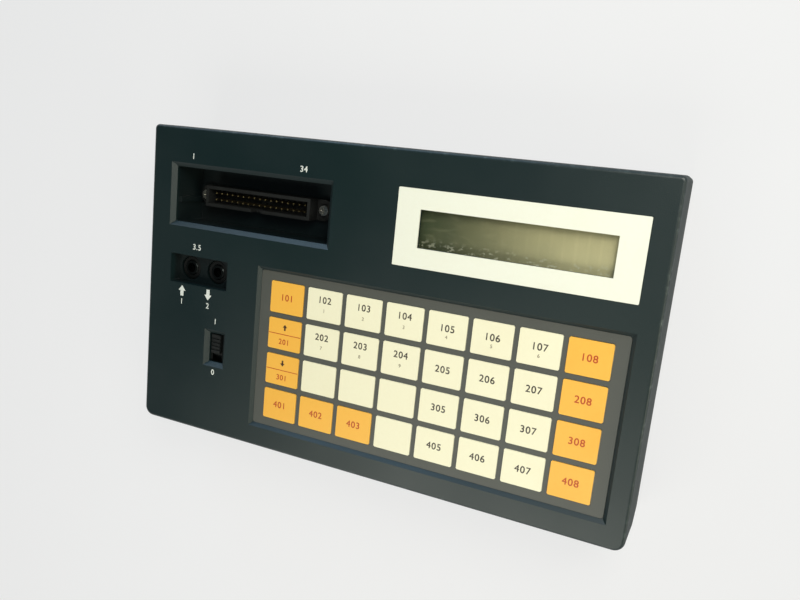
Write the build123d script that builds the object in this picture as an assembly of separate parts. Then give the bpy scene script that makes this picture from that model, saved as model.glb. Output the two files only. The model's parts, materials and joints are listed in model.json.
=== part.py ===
"""A hand-held programming terminal for a small industrial controller.

The terminal is a flat two-part plastic case that lies on its back on four rubber feet. Its face carries a
display in a pale surround, a recessed membrane keypad of eight columns by four rows, a deep bay for a plug-in
memory pack, two cassette jacks in a shared pocket and a slide switch in a chamfered slot.

X runs to the right across the face, Y towards the display edge and Z out of the face. The origin is on the
table, under the middle of the case. All sizes are in millimetres.
"""

from build123d import *
import math
import os

# Case
foot_stand = 2.0  # the feet hold the case this far off the table
rear_depth = 16.0  # from the back of the case to the parting line
front_draft = 1.0  # degrees
rear_draft = 1.5  # degrees
wall = 2.5
display_side_corner = 2.0  # corner radius seen from the front
keypad_side_corner = 4.0
face_edge_radius = 1.2
back_edge_chamfer = 1.2
tongue_height = 1.5
tongue_thickness = 1.1
joint_clearance = 0.1
back_rib_thickness = 1.4
back_rib_height = 3.0

# Screws that hold the two halves of the case together
case_screw_inset = 7.5  # from the parting line outline
case_screw_radius = 1.45
case_screw_bite = 9.0  # length inside the front cover
case_head_radius = 2.8
case_head_height = 2.0
case_counterbore_depth = 3.0
front_boss_radius = 3.2
rear_boss_radius = 4.4
boss_meeting_drop = 3.0  # below the parting line
thread_clearance = 0.05
hole_clearance = 0.2

# Rubber feet
foot_radius = 6.0
foot_recess = 0.6
foot_inset_x = 20.0
foot_inset_y = 18.0
foot_edge_chamfer = 0.6

# Keypad
key_columns = 8
key_rows = 4
key_width = 14.0
key_height = 11.7
key_spacing_x = 1.8
key_spacing_y = 2.1
key_corner_cut = 0.4
key_gap = 0.15  # between a key and its window
key_thickness = 0.4
key_stand = 0.25  # a key stands this far above the overlay
key_travel = 0.3
keypad_border_x = 4.6  # from the outer keys to the edge of the overlay
keypad_border_y = 3.35
keypad_corner = 1.0
keypad_recess = 1.2  # from the face down to the overlay
keypad_pocket_gap = 0.1
overlay_thickness = 0.5
spacer_thickness = 0.4
spacer_hole_gap = 0.3  # round each dome
backplate_thickness = 1.0
keypad_floor_thickness = 1.6
dome_inset = 4.7  # from the upper and lower edge of a key to its dome
dome_slope = 2.2  # how far each side leans in
dome_rim = 0.06  # upright edge under the slope
dome_sheet = 0.12
tail_width = 20.0
tail_thickness = 0.3
tail_edge_distance = 2.0  # from the keypad's display-side edge

# Display
window_width = 64.5
window_height = 12.9
bezel_border_x = 8.55  # from the window to the edge of the surround
bezel_border_y = 6.8
bezel_thickness = 0.5
bezel_recess = 0.4
pane_overlap = 2.7  # the pane reaches this far behind the edge of the window
pane_thickness = 1.0
lcd_frame_overlap_x = 3.75
lcd_frame_overlap_y = 4.05
lcd_frame_sheet = 0.4
lcd_frame_gap = 0.1  # below the clear pane
lcd_view_margin = 0.75  # the view opening of the frame is this much larger than the window, on each side
lcd_glass_thickness = 2.4
lcd_glass_gap = 0.15
lcd_board_border_x = 4.0  # from the frame to the edge of the display board
lcd_board_border_y = 5.0
lcd_board_thickness = 1.6
lcd_board_drop = 6.5  # from the top of the frame to the display board
lcd_screw_inset = 2.6
elastomer_width = 2.2
lcd_post_radius = 2.2

# Memory pack bay
bay_right_gap = 6.05  # from the connector's ear to the right wall of the bay
bay_edge_gap = 6.55  # from the connector's shell to the walls above and below it
bay_depth = 17.0
bay_wall = 1.6
mouth_chamfer = 1.6
bay_corner = 0.6
guide_rib_width = 2.0
guide_rib_depth = 1.0
guide_rib_drop = 3.5  # from the face to the end of the rib
guide_rib_offset_y = -2.2
guide_rib_clearance = 0.25  # to the connector's ear

# Memory pack connector
pin_columns = 17
pin_rows = 2
pin_pitch = 2.54
pin_side = 0.64
pin_tip = 0.15
header_shell_end = 2.18  # from the last pins to the inside of the shell
header_shell_side = 1.53
header_shell_wall = 1.2
pack_shell_height = 9.2
pack_socket_floor = 2.2  # material below the cavity
pack_ear_length = 6.6
pack_ear_thickness = 2.0
pack_notch_width = 4.5
pack_pin_length = 7.4  # above the board
pack_screw_radius = 1.0
pack_head_radius = 1.9
pack_head_height = 1.3

# Main board
board_edge_gap_x = 8.0  # from the board to the inside of the case
board_edge_gap_y = 7.75
board_thickness = 1.6
board_notch_x = 7.0
board_notch_y = 6.0
board_screw_radius = 1.2
board_head_radius = 2.2
board_head_height = 1.5
board_screw_bite = 5.6  # length above the board
lcd_screw_bite = 4.4
blind_hole_spare = 1.0  # of a screw hole past the tip of its screw
board_boss_radius = 2.8
board_screw_inset = 10.0  # of the two screws at the keypad end
board_screw_edge_gap = 4.0  # from the display-side edge
board_screw_side_gap = 5.0  # from the right edge
board_screw_keypad_gap = 3.0  # from the keypad

# Cassette jacks
jack_pitch = 12.6
jack_pocket_left = 6.05  # from the left jack to the wall of the pocket
jack_pocket_right = 8.45
jack_pocket_side = 5.65
jack_pocket_depth = 5.0
jack_hole_gap = 0.5  # round the nose of a jack
jack_body_gap = 2.2  # between the bodies of the jacks
jack_nose_radius = 4.2
jack_nose_height = 1.0
jack_bore_radius = 1.85  # for a plug of 3.5 mm
jack_bore_floor = 0.5
bushing_radius = 3.0
bushing_length = 2.5
bushing_stand = 0.5  # above the nose
bushing_chamfer = 0.3

# Slide switch
switch_slot_gap_x = 1.25  # from the knob to the side of its slot
switch_slot_gap_y = 0.35  # the same at the end of its travel
switch_body_wall = 0.9
switch_body_end = 1.2
switch_body_depth = 7.5
switch_sheet = 0.5
switch_flange_reach = 4.5
switch_stake_radius = 1.0
switch_stake_head_radius = 1.8
switch_stake_head = 0.8
switch_track_depth = 1.6
knob_width = 4.0
knob_length = 7.4
knob_top_drop = 1.1  # from the face down to the top of the knob
knob_travel = 3.4
knob_clearance = 0.2
knob_base_height = 1.2
knob_base_overhang = 1.2
knob_groove = 0.35
knob_groove_count = 4

# Cable socket in the display-side edge of the rear cover
socket_columns = 10
socket_shell_depth = 12.0
socket_floor = 2.4
socket_pin_recess = 3.5  # from the shell's mouth to the tips of the pins
socket_recess = 1.3  # from the case edge to the shell's mouth
socket_gap = 0.3  # round the shell, and under it to the inside of the back
socket_back_gap = 1.3  # from the shell to the inside of the back
socket_leg_step = 2.0

# Small parts on the main board
chip_height = 4.2
chip_width = 13.4
chip_lengths = [52.0, 37.0, 37.0, 20.0]
chip_offsets = [(-2.4, 11.9), (-40.4, -4.1), (-40.4, 15.9), (39.6, -2.1)]  # from the middle of the keypad
can_radius = 3.1
can_height = 8.0
can_offsets = [(-62.4, -18.1), (-72.4, -18.1), (37.6, 23.9)]  # from the middle of the keypad
crystal_size = (11.0, 4.6, 6.0)
crystal_offset = (-24.4, -22.1)  # from the middle of the keypad
tail_socket_size = (24.0, 4.4, 3.2)
ribbon_width = 36.0
ribbon_edge_distance = 2.2

# Layout of the face
keypad_side_margin = 8.2  # all margins run to the outline of the parting line
keypad_low_margin = 9.45
display_side_margin = 7.8
display_top_margin = 12.8
display_keypad_gap = 9.95
bay_side_margin = 11.05
bay_top_margin = 15.3
bay_display_gap = 26.65
jack_side_margin = 10.85
bay_jack_gap = 12.5
jack_keypad_gap = 15.05
jack_switch_gap = 17.7
switch_offset_x = 9.2  # from the middle of the jack pocket
switch_low_margin = 29.1

# Sizes that follow from the ones above
key_pitch_x = key_width + key_spacing_x
key_pitch_y = key_height + key_spacing_y
keypad_width = (key_columns - 1) * key_pitch_x + key_width + 2 * keypad_border_x
keypad_height = (key_rows - 1) * key_pitch_y + key_height + 2 * keypad_border_y
dome_side = key_height - dome_inset
bezel_width = window_width + 2 * bezel_border_x
bezel_height = window_height + 2 * bezel_border_y
pane_width = window_width + 2 * pane_overlap
pane_height = window_height + 2 * pane_overlap
lcd_frame_width = window_width + 2 * lcd_frame_overlap_x
lcd_frame_height = window_height + 2 * lcd_frame_overlap_y
lcd_view_width = window_width + 2 * lcd_view_margin
lcd_view_height = window_height + 2 * lcd_view_margin
lcd_board_width = lcd_frame_width + 2 * lcd_board_border_x
lcd_board_height = lcd_frame_height + 2 * lcd_board_border_y
pack_shell_length = (pin_columns - 1) * pin_pitch + 2 * (header_shell_end + header_shell_wall)
pack_shell_width = (pin_rows - 1) * pin_pitch + 2 * (header_shell_side + header_shell_wall)
socket_shell_length = (socket_columns - 1) * pin_pitch + 2 * (header_shell_end + header_shell_wall)
socket_shell_height = pack_shell_width
bay_left_gap = guide_rib_depth + guide_rib_clearance
bay_width = pack_shell_length + 2 * pack_ear_length + bay_left_gap + bay_right_gap
bay_height = pack_shell_width + 2 * bay_edge_gap
jack_pocket_width = jack_pitch + jack_pocket_left + jack_pocket_right
jack_pocket_height = 2 * jack_pocket_side
jack_hole_radius = jack_nose_radius + jack_hole_gap
jack_body_side = jack_pitch - jack_body_gap
switch_slot_width = knob_width + 2 * switch_slot_gap_x
switch_slot_height = knob_length + knob_travel + 2 * switch_slot_gap_y
switch_window_width = knob_width + 2 * knob_clearance
switch_window_height = knob_length + knob_travel + 2 * knob_clearance
switch_track_width = switch_window_width + 2 * knob_base_overhang
switch_track_height = switch_window_height + 2 * knob_base_overhang
switch_body_width = switch_track_width + 2 * switch_body_wall
switch_body_height = switch_track_height + 2 * switch_body_end
switch_flange_height = switch_body_height + 2 * switch_flange_reach
switch_stake_pitch = switch_body_height + switch_flange_reach

upper_row_width = bay_side_margin + bay_width + bay_display_gap + bezel_width + display_side_margin
lower_row_width = jack_side_margin + jack_pocket_width + jack_keypad_gap + keypad_width + keypad_side_margin
case_width = max(upper_row_width, lower_row_width)
right_column = display_top_margin + bezel_height + display_keypad_gap + keypad_height + keypad_low_margin
left_upper_column = bay_top_margin + bay_height + bay_jack_gap + jack_pocket_height
left_column = left_upper_column + jack_switch_gap + switch_slot_height + switch_low_margin
case_height = max(left_column, right_column)
case_depth = bay_depth + bay_wall + board_thickness + socket_shell_height + socket_back_gap + wall
board_width = case_width - 2 * (wall + board_edge_gap_x)
board_height = case_height - 2 * (wall + board_edge_gap_y)

# Places across the face
keypad_center_x = case_width / 2 - keypad_side_margin - keypad_width / 2
keypad_center_y = keypad_low_margin + keypad_height / 2 - case_height / 2
display_center_x = case_width / 2 - display_side_margin - bezel_width / 2
display_center_y = case_height / 2 - display_top_margin - bezel_height / 2
bay_center_x = bay_side_margin + bay_width / 2 - case_width / 2
bay_center_y = case_height / 2 - bay_top_margin - bay_height / 2
bay_right_x = bay_center_x + bay_width / 2
pack_center_x = bay_center_x - bay_width / 2 + bay_left_gap + pack_ear_length + pack_shell_length / 2
jack_pocket_center_x = jack_side_margin + jack_pocket_width / 2 - case_width / 2
jack_center_x = jack_pocket_center_x - jack_pocket_width / 2 + jack_pocket_left + jack_pitch / 2
jack_center_y = bay_center_y - bay_height / 2 - bay_jack_gap - jack_pocket_height / 2
switch_center_x = jack_pocket_center_x + switch_offset_x
switch_center_y = jack_center_y - jack_pocket_height / 2 - jack_switch_gap - switch_slot_height / 2
socket_center_x = display_center_x

# Heights above the table
back_z = foot_stand
face_z = back_z + case_depth
parting_z = back_z + rear_depth
cavity_top_z = face_z - wall
floor_z = back_z + wall
boss_meeting_z = parting_z - boss_meeting_drop
overlay_top_z = face_z - keypad_recess
overlay_low_z = overlay_top_z - overlay_thickness
spacer_low_z = overlay_low_z - spacer_thickness
pocket_floor_z = spacer_low_z - backplate_thickness
key_low_z = overlay_top_z + key_stand - key_thickness
dome_top_z = key_low_z - key_travel
pane_low_z = cavity_top_z
pane_top_z = pane_low_z + pane_thickness
lcd_top_z = pane_low_z - lcd_frame_gap
lcd_board_top_z = lcd_top_z - lcd_board_drop
lcd_board_low_z = lcd_board_top_z - lcd_board_thickness
bay_floor_z = face_z - bay_depth
board_top_z = bay_floor_z - bay_wall
board_low_z = board_top_z - board_thickness
jack_floor_z = face_z - jack_pocket_depth
jack_body_top_z = jack_floor_z - bay_wall
jack_nose_top_z = jack_body_top_z + jack_nose_height


def case_outline(z, inset=0.0):
    """The case seen from the front, tighter at the display-side corners."""
    plate = Rectangle(case_width - 2 * inset, case_height - 2 * inset)
    display_side = max(display_side_corner - inset, 0.5)
    keypad_side = max(keypad_side_corner - inset, 0.5)
    plate = fillet(plate.vertices().group_by(Axis.Y)[-1], display_side)
    plate = fillet(plate.vertices().group_by(Axis.Y)[0], keypad_side)
    return Pos(0, 0, z) * plate


def block(center_x, center_y, size_x, size_y, z_low, z_high):
    """A plain box given by its middle, its footprint and its two heights."""
    middle = Pos(center_x, center_y, (z_low + z_high) / 2)
    return middle * Box(size_x, size_y, z_high - z_low)


def post(x, y, radius, z_low, z_high):
    """An upright cylinder."""
    return Pos(x, y, (z_low + z_high) / 2) * Cylinder(radius, z_high - z_low)


def rounded_block(center_x, center_y, size_x, size_y, radius, z_low, z_high):
    """A box with rounded upright corners."""
    plate = Pos(center_x, center_y, z_low) * RectangleRounded(size_x, size_y, radius)
    return extrude(plate, amount=z_high - z_low)


def chamfered_mouth(center_x, center_y, size_x, size_y, chamfer):
    """The cutter that bevels the rim of an opening in the face."""
    inner = Pos(center_x, center_y, face_z - chamfer) * Rectangle(size_x, size_y)
    outer = Pos(center_x, center_y, face_z) * Rectangle(size_x + 2 * chamfer, size_y + 2 * chamfer)
    return loft([inner, outer], ruled=True)


def cut_corner_plate(size_x, size_y, cut):
    """A rectangle whose corners are cut off at 45 degrees."""
    plate = Rectangle(size_x, size_y)
    return chamfer(plate.vertices(), cut)


def key_place(row, column):
    """The middle of a key; rows count from the display side, columns from the left."""
    x = keypad_center_x + (column - (key_columns - 1) / 2) * key_pitch_x
    y = keypad_center_y + ((key_rows - 1) / 2 - row) * key_pitch_y
    return x, y


def all_key_places():
    """The middles of all keys, row by row."""
    return [key_place(row, column) for row in range(key_rows) for column in range(key_columns)]


def case_screw_places():
    """The four screws in the corners of the case."""
    x = case_width / 2 - case_screw_inset
    y = case_height / 2 - case_screw_inset
    return [(side_x * x, side_y * y) for side_x in (-1, 1) for side_y in (-1, 1)]


def foot_places():
    """The four feet under the rear cover."""
    x = case_width / 2 - foot_inset_x
    y = case_height / 2 - foot_inset_y
    return [(side_x * x, side_y * y) for side_x in (-1, 1) for side_y in (-1, 1)]


def lcd_screw_places():
    """The four screws in the corners of the display board."""
    x = lcd_board_width / 2 - lcd_screw_inset
    y = lcd_board_height / 2 - lcd_screw_inset
    corners = [(side_x, side_y) for side_x in (-1, 1) for side_y in (-1, 1)]
    return [(display_center_x + side_x * x, display_center_y + side_y * y) for side_x, side_y in corners]


def jack_places():
    """The two cassette jacks, left and right."""
    return [(jack_center_x + side * jack_pitch / 2, jack_center_y) for side in (-1, 1)]


def board_screw_places():
    """The four screws of the main board: two at the keypad end, one beside the bay, one beside the keypad."""
    low_x = board_width / 2 - board_screw_inset
    low_y = board_screw_inset - board_height / 2
    middle_x = (bay_right_x + display_center_x - lcd_board_width / 2) / 2
    top_y = board_height / 2 - board_screw_edge_gap
    side_x = board_width / 2 - board_screw_side_gap
    side_y = keypad_center_y + keypad_height / 2 + board_screw_keypad_gap
    return [(-low_x, low_y), (low_x, low_y), (middle_x, top_y), (side_x, side_y)]


def switch_stake_places():
    """The two posts that hold the slide switch to the front cover."""
    half = switch_stake_pitch / 2
    return [(switch_center_x, switch_center_y + side * half) for side in (-1, 1)]


def ear_screw_places():
    """The screws in the two ears of the memory pack connector."""
    reach = (pack_shell_length + pack_ear_length) / 2
    return [(pack_center_x + side * reach, bay_center_y) for side in (-1, 1)]


def union(shapes):
    """All the shapes joined into one."""
    joined = shapes[0]
    for shape in shapes[1:]:
        joined = joined + shape
    return joined


# Case halves


def front_shell():
    """The drafted front half, hollow, with its soft face edge and the groove for the rear cover's tongue."""
    body = extrude(case_outline(parting_z), amount=face_z - parting_z, taper=front_draft)
    body = fillet(body.faces().sort_by(Axis.Z)[-1].edges(), face_edge_radius)
    cavity = extrude(case_outline(parting_z, wall), amount=cavity_top_z - parting_z, taper=front_draft)
    groove_outer = wall - tongue_thickness - joint_clearance
    groove = extrude(case_outline(parting_z, groove_outer), amount=tongue_height + joint_clearance)
    return body - cavity - groove


def front_wells():
    """The sunken boxes inside the front cover: keypad tray, memory pack bay and jack pocket."""
    tray_edge = 2 * (keypad_pocket_gap + keypad_floor_thickness)
    tray_low_z = pocket_floor_z - keypad_floor_thickness
    tray = block(
        keypad_center_x,
        keypad_center_y,
        keypad_width + tray_edge,
        keypad_height + tray_edge,
        tray_low_z,
        cavity_top_z,
    )
    bay = block(
        bay_center_x,
        bay_center_y,
        bay_width + 2 * bay_wall,
        bay_height + 2 * bay_wall,
        board_top_z,
        cavity_top_z,
    )
    pocket = block(
        jack_pocket_center_x,
        jack_center_y,
        jack_pocket_width + 2 * bay_wall,
        jack_pocket_height + 2 * bay_wall,
        jack_body_top_z,
        cavity_top_z,
    )
    return union([tray, bay, pocket])


def keypad_cutters():
    """The tray for the membrane stack, its bevelled rim and the slot for its tail."""
    pocket_width = keypad_width + 2 * keypad_pocket_gap
    pocket_height = keypad_height + 2 * keypad_pocket_gap
    tray = rounded_block(
        keypad_center_x,
        keypad_center_y,
        pocket_width,
        pocket_height,
        keypad_corner + keypad_pocket_gap,
        pocket_floor_z,
        face_z,
    )
    rim = chamfered_mouth(keypad_center_x, keypad_center_y, pocket_width, pocket_height, keypad_recess)
    slot = block(
        keypad_center_x,
        keypad_center_y + keypad_height / 2 - tail_edge_distance,
        tail_width + 2,
        tail_thickness + 1,
        pocket_floor_z - 2 * keypad_floor_thickness,
        pocket_floor_z,
    )
    return union([tray, rim, slot])


def bay_cutters():
    """The memory pack bay, its bevelled mouth and the gap in its floor for the connector."""
    bay = rounded_block(bay_center_x, bay_center_y, bay_width, bay_height, bay_corner, bay_floor_z, face_z)
    mouth = chamfered_mouth(bay_center_x, bay_center_y, bay_width, bay_height, mouth_chamfer)
    gap = block(
        pack_center_x,
        bay_center_y,
        pack_shell_length + 2 * joint_clearance,
        pack_shell_width + 2 * joint_clearance,
        board_top_z,
        bay_floor_z,
    )
    screw_holes = [
        post(x, y, pack_screw_radius + thread_clearance, board_top_z, bay_floor_z)
        for x, y in ear_screw_places()
    ]
    return union([bay, mouth, gap, *screw_holes])


def bay_guide_rib():
    """The keying rib on the left wall of the bay."""
    left_wall_x = bay_center_x - bay_width / 2
    return block(
        left_wall_x + guide_rib_depth / 2,
        bay_center_y + guide_rib_offset_y,
        guide_rib_depth,
        guide_rib_width,
        bay_floor_z,
        face_z - guide_rib_drop,
    )


def display_cutters():
    """The window in the face, the shallow bed for the pale surround and the rebate for the clear pane."""
    window = block(
        display_center_x, display_center_y, window_width, window_height, cavity_top_z - wall, face_z + wall
    )
    bed = block(display_center_x, display_center_y, bezel_width, bezel_height, face_z - bezel_recess, face_z)
    rebate = block(display_center_x, display_center_y, pane_width, pane_height, pane_low_z - wall, pane_top_z)
    return union([window, bed, rebate])


def jack_cutters():
    """The shared jack pocket with a round hole for each jack."""
    pocket = rounded_block(
        jack_pocket_center_x,
        jack_center_y,
        jack_pocket_width,
        jack_pocket_height,
        bay_corner,
        jack_floor_z,
        face_z,
    )
    holes = [post(x, y, jack_hole_radius, jack_body_top_z, jack_floor_z) for x, y in jack_places()]
    return union([pocket, *holes])


def switch_cutters():
    """The slot for the switch knob with its bevelled rim."""
    slot = block(
        switch_center_x, switch_center_y, switch_slot_width, switch_slot_height, cavity_top_z, face_z
    )
    rim = chamfered_mouth(
        switch_center_x, switch_center_y, switch_slot_width, switch_slot_height, mouth_chamfer
    )
    return slot + rim


def switch_stakes():
    """Posts that pass through the switch flange, each with the flattened head that holds it."""
    flange_low_z = cavity_top_z - switch_sheet
    stakes = []
    for x, y in switch_stake_places():
        stakes.append(post(x, y, switch_stake_radius, flange_low_z, cavity_top_z))
        stakes.append(post(x, y, switch_stake_head_radius, flange_low_z - switch_stake_head, flange_low_z))
    return union(stakes)


def front_bosses():
    """The hollow posts for the case screws, the main board and the display board."""
    bosses = []
    for x, y in case_screw_places():
        bosses.append(post(x, y, front_boss_radius, boss_meeting_z, cavity_top_z))
    for x, y in board_screw_places():
        beside_x = abs(x - keypad_center_x) > keypad_width / 2
        over_tray = not beside_x and abs(y - keypad_center_y) < keypad_height / 2
        top_z = pocket_floor_z - keypad_floor_thickness if over_tray else cavity_top_z
        bosses.append(post(x, y, board_boss_radius, board_top_z, top_z))
    for x, y in lcd_screw_places():
        bosses.append(post(x, y, lcd_post_radius, lcd_board_top_z, cavity_top_z))
    return union(bosses)


def front_pilot_holes():
    """The blind holes that the screws bite into."""
    holes = []
    for x, y in case_screw_places():
        bite = boss_meeting_z + case_screw_bite + blind_hole_spare
        holes.append(post(x, y, case_screw_radius + thread_clearance, boss_meeting_z, bite))
    for x, y in board_screw_places():
        bite = board_top_z + board_screw_bite + blind_hole_spare
        holes.append(post(x, y, board_screw_radius + thread_clearance, board_top_z, bite))
    for x, y in lcd_screw_places():
        bite = lcd_board_top_z + lcd_screw_bite + blind_hole_spare
        holes.append(post(x, y, board_screw_radius + thread_clearance, lcd_board_top_z, bite))
    return union(holes)


def front_cover():
    """The moulded front half of the case."""
    body = front_shell() + front_wells() + front_bosses()
    body = body - keypad_cutters() - bay_cutters() - display_cutters()
    body = body - jack_cutters() - switch_cutters() - front_pilot_holes()
    return body + bay_guide_rib() + switch_stakes()


def rear_shell():
    """The drafted rear half, hollow, with its tongue."""
    downward = (0, 0, -1)
    body = extrude(case_outline(parting_z), amount=rear_depth, dir=downward, taper=rear_draft)
    body = chamfer(body.faces().sort_by(Axis.Z)[0].edges(), back_edge_chamfer)
    cavity_depth = parting_z - floor_z
    cavity = extrude(case_outline(parting_z, wall), amount=cavity_depth, dir=downward, taper=rear_draft)
    tongue = extrude(case_outline(parting_z, wall - tongue_thickness), amount=tongue_height)
    tongue = tongue - extrude(case_outline(parting_z, wall), amount=tongue_height)
    return body - cavity + tongue


def rear_ribs():
    """Low stiffening ribs on the inside of the back."""
    span_x = case_width - 2 * foot_inset_x
    span_y = case_height - 2 * foot_inset_y
    top_z = floor_z + back_rib_height
    ribs = []
    for y in (-span_y / 4, span_y / 4):
        ribs.append(block(0, y, span_x, back_rib_thickness, floor_z, top_z))
    for x in (-span_x / 4, 0, span_x / 4):
        ribs.append(block(x, 0, back_rib_thickness, span_y, floor_z, top_z))
    return union(ribs)


def socket_height():
    """The middle height of the cable socket, which hangs under the main board."""
    return board_low_z - socket_shell_height / 2


def rear_cover():
    """The moulded rear half of the case."""
    body = rear_shell() + rear_ribs()
    counterbore_z = back_z + case_counterbore_depth
    for x, y in case_screw_places():
        body = body + post(x, y, rear_boss_radius, floor_z, boss_meeting_z)
    for x, y in case_screw_places():
        body = body - post(x, y, case_head_radius + 2 * hole_clearance, back_z, counterbore_z)
        body = body - post(x, y, case_screw_radius + hole_clearance, counterbore_z, boss_meeting_z)
    for x, y in foot_places():
        body = body - post(x, y, foot_radius + joint_clearance, back_z, back_z + foot_recess)
    opening = block(
        socket_center_x,
        case_height / 2,
        socket_shell_length + 2 * socket_gap,
        4 * wall,
        socket_height() - socket_shell_height / 2 - socket_gap,
        socket_height() + socket_shell_height / 2 + socket_gap,
    )
    return body - opening


def rubber_feet():
    """Four round feet seated in shallow recesses."""
    feet = []
    for x, y in foot_places():
        foot = post(x, y, foot_radius, 0, back_z + foot_recess)
        foot = chamfer(foot.faces().sort_by(Axis.Z)[0].edges(), foot_edge_chamfer)
        feet.append(foot)
    return Compound(feet)


def screw(x, y, shank_radius, shank_length, head_radius, head_height, seat_z, points_up=True):
    """A round-head screw with a cross recess; its head rests against seat_z."""
    recess_width = head_radius * 0.28
    recess_length = head_radius * 1.2
    recess_depth = head_height * 0.5
    head = Pos(0, 0, -head_height / 2) * Cylinder(head_radius, head_height)
    slot_z = -head_height + recess_depth / 2
    head = head - Pos(0, 0, slot_z) * Box(recess_length, recess_width, recess_depth)
    head = head - Pos(0, 0, slot_z) * Box(recess_width, recess_length, recess_depth)
    shank = Pos(0, 0, shank_length / 2) * Cylinder(shank_radius, shank_length)
    made = head + shank
    if not points_up:
        made = Rot(180, 0, 0) * made
    return Pos(x, y, seat_z) * made


def case_screws():
    """The four screws that close the case from the back."""
    seat_z = back_z + case_counterbore_depth
    length = boss_meeting_z - seat_z + case_screw_bite
    return Compound(
        [
            screw(x, y, case_screw_radius, length, case_head_radius, case_head_height, seat_z)
            for x, y in case_screw_places()
        ]
    )


# Display


def display_bezel():
    """The pale surround with its window."""
    low_z = face_z - bezel_recess
    plate_width = bezel_width - 2 * joint_clearance
    plate_height = bezel_height - 2 * joint_clearance
    plate = rounded_block(
        display_center_x, display_center_y, plate_width, plate_height, 0.4, low_z, low_z + bezel_thickness
    )
    return plate - block(
        display_center_x, display_center_y, window_width, window_height, low_z, low_z + bezel_thickness
    )


def display_window():
    """The clear pane behind the window."""
    return block(
        display_center_x,
        display_center_y,
        pane_width - 2 * joint_clearance,
        pane_height - 2 * joint_clearance,
        pane_low_z,
        pane_top_z,
    )


def lcd_frame():
    """The folded metal frame that clamps the display glass, with twist tabs through its board."""
    outside = block(
        display_center_x, display_center_y, lcd_frame_width, lcd_frame_height, lcd_board_top_z, lcd_top_z
    )
    inside = block(
        display_center_x,
        display_center_y,
        lcd_frame_width - 2 * lcd_frame_sheet,
        lcd_frame_height - 2 * lcd_frame_sheet,
        lcd_board_top_z,
        lcd_top_z - lcd_frame_sheet,
    )
    view = block(
        display_center_x, display_center_y, lcd_view_width, lcd_view_height, lcd_board_top_z, lcd_top_z
    )
    return outside - inside - view


def lcd_glass():
    """The liquid crystal cell: an upper glass and a wider lower glass with contact ledges."""
    top_z = lcd_top_z - lcd_frame_sheet
    middle_z = top_z - lcd_glass_thickness / 2
    inner_width = lcd_frame_width - 2 * (lcd_frame_sheet + lcd_glass_gap)
    inner_height = lcd_frame_height - 2 * (lcd_frame_sheet + lcd_glass_gap)
    upper = block(display_center_x, display_center_y, inner_width, inner_height, middle_z, top_z)
    lower = block(
        display_center_x,
        display_center_y,
        inner_width,
        inner_height - 2 * elastomer_width,
        top_z - lcd_glass_thickness,
        middle_z,
    )
    return upper + lower


def lcd_elastomers():
    """The two rubber strips that join the glass to its board."""
    middle_z = lcd_top_z - lcd_frame_sheet - lcd_glass_thickness / 2
    inner_height = lcd_frame_height - 2 * (lcd_frame_sheet + lcd_glass_gap)
    offset = (inner_height - elastomer_width) / 2
    strips = [
        block(
            display_center_x,
            display_center_y + side * offset,
            lcd_view_width,
            elastomer_width - joint_clearance,
            lcd_board_top_z,
            middle_z,
        )
        for side in (-1, 1)
    ]
    return Compound(strips)


def lcd_board():
    """The display's own circuit board."""
    board = block(
        display_center_x,
        display_center_y,
        lcd_board_width,
        lcd_board_height,
        lcd_board_low_z,
        lcd_board_top_z,
    )
    for x, y in lcd_screw_places():
        board = board - post(x, y, board_screw_radius + hole_clearance, lcd_board_low_z, lcd_board_top_z)
    return board


# Keypad


def keypad_sheet(z_low, z_high):
    """One full layer of the membrane stack."""
    return rounded_block(
        keypad_center_x, keypad_center_y, keypad_width, keypad_height, keypad_corner, z_low, z_high
    )


def keypad_overlay():
    """The printed top sheet with a window for each key."""
    window = cut_corner_plate(key_width + 2 * key_gap, key_height + 2 * key_gap, key_corner_cut + key_gap)
    windows = [Pos(x, y) * window for x, y in all_key_places()]
    cutter = extrude(Pos(0, 0, overlay_low_z) * Sketch(windows), amount=overlay_thickness)
    return keypad_sheet(overlay_low_z, overlay_top_z) - cutter


def keypad_spacer():
    """The sheet that keeps the contacts apart, with a square hole under each key."""
    side = dome_side + 2 * spacer_hole_gap
    holes = [Pos(x, y) * Rectangle(side, side) for x, y in all_key_places()]
    cutter = extrude(Pos(0, 0, spacer_low_z) * Sketch(holes), amount=spacer_thickness)
    return keypad_sheet(spacer_low_z, overlay_low_z) - cutter


def keypad_backplate():
    """The stiff contact board under the membrane, notched where the tail leaves."""
    notch = block(
        keypad_center_x,
        keypad_center_y + keypad_height / 2 - tail_edge_distance,
        tail_width + 2,
        tail_thickness + 1,
        pocket_floor_z,
        spacer_low_z,
    )
    return keypad_sheet(pocket_floor_z, spacer_low_z) - notch


def sloped_plate(x, y, side, height, rim, slope):
    """A low square pyramid with a flat top and a short upright rim."""
    plate = block(x, y, side, side, spacer_low_z, spacer_low_z + height)
    top = plate.faces().sort_by(Axis.Z)[-1]
    return chamfer(top.edges(), slope, height - rim, reference=top)


def key_dome(x, y):
    """A thin pressed-metal snap dome on four sides, open underneath."""
    height = dome_top_z - spacer_low_z
    outside = sloped_plate(x, y, dome_side, height, dome_rim, dome_slope)
    inside = sloped_plate(
        x, y, dome_side - 4 * dome_sheet, height - dome_sheet, dome_rim / 2, dome_slope - dome_sheet
    )
    return outside - inside


def key_domes():
    """One snap dome under each key."""
    return Compound([key_dome(x, y) for x, y in all_key_places()])


def key_pad(row, column):
    """One printed key, standing a little above the overlay."""
    x, y = key_place(row, column)
    plate = cut_corner_plate(key_width, key_height, key_corner_cut)
    return extrude(Pos(x, y, key_low_z) * plate, amount=key_thickness)


def tail_y():
    """Where the keypad tail hangs."""
    return keypad_center_y + keypad_height / 2 - tail_edge_distance


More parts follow.
